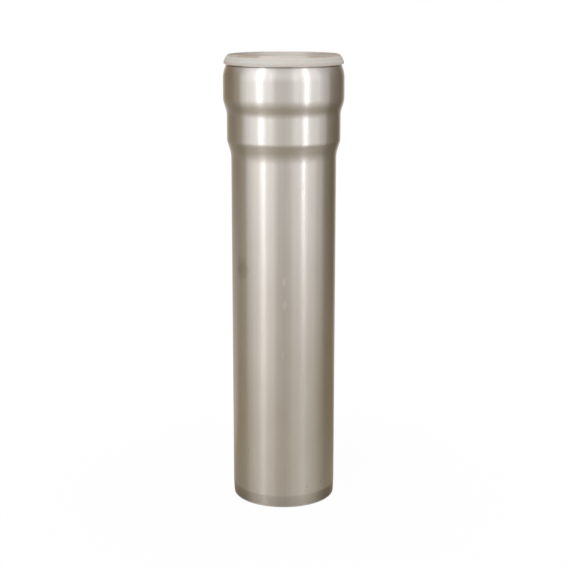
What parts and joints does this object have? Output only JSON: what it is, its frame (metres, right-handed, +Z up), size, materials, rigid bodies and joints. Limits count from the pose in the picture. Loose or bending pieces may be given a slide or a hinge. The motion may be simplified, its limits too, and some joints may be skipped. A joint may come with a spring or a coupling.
{
  "type": "steel drain pipe",
  "caption": "Straight push-fit steel drain pipe with a drawn-in spigot end, a double-stepped socket and a lip seal ring over the socket's rim.",
  "frame": {"origin": "centre of the spigot end, on the plane that the pipe stands on", "axes": "+Z up along the pipe's axis towards the socket; the weld seam faces -Y; +X to the right of a viewer who looks along +Y"},
  "size_m": [0.0836, 0.0836, 0.3161],
  "materials": {
    "steel": "satin stainless steel, mill-rolled sheet with a fine lengthwise weld seam",
    "seal_rubber": "matt pale grey moulded rubber"
  },
  "bodies": {
    "root": {"pipe": "steel", "seal_ring": "seal_rubber"}
  },
  "joints": []
}
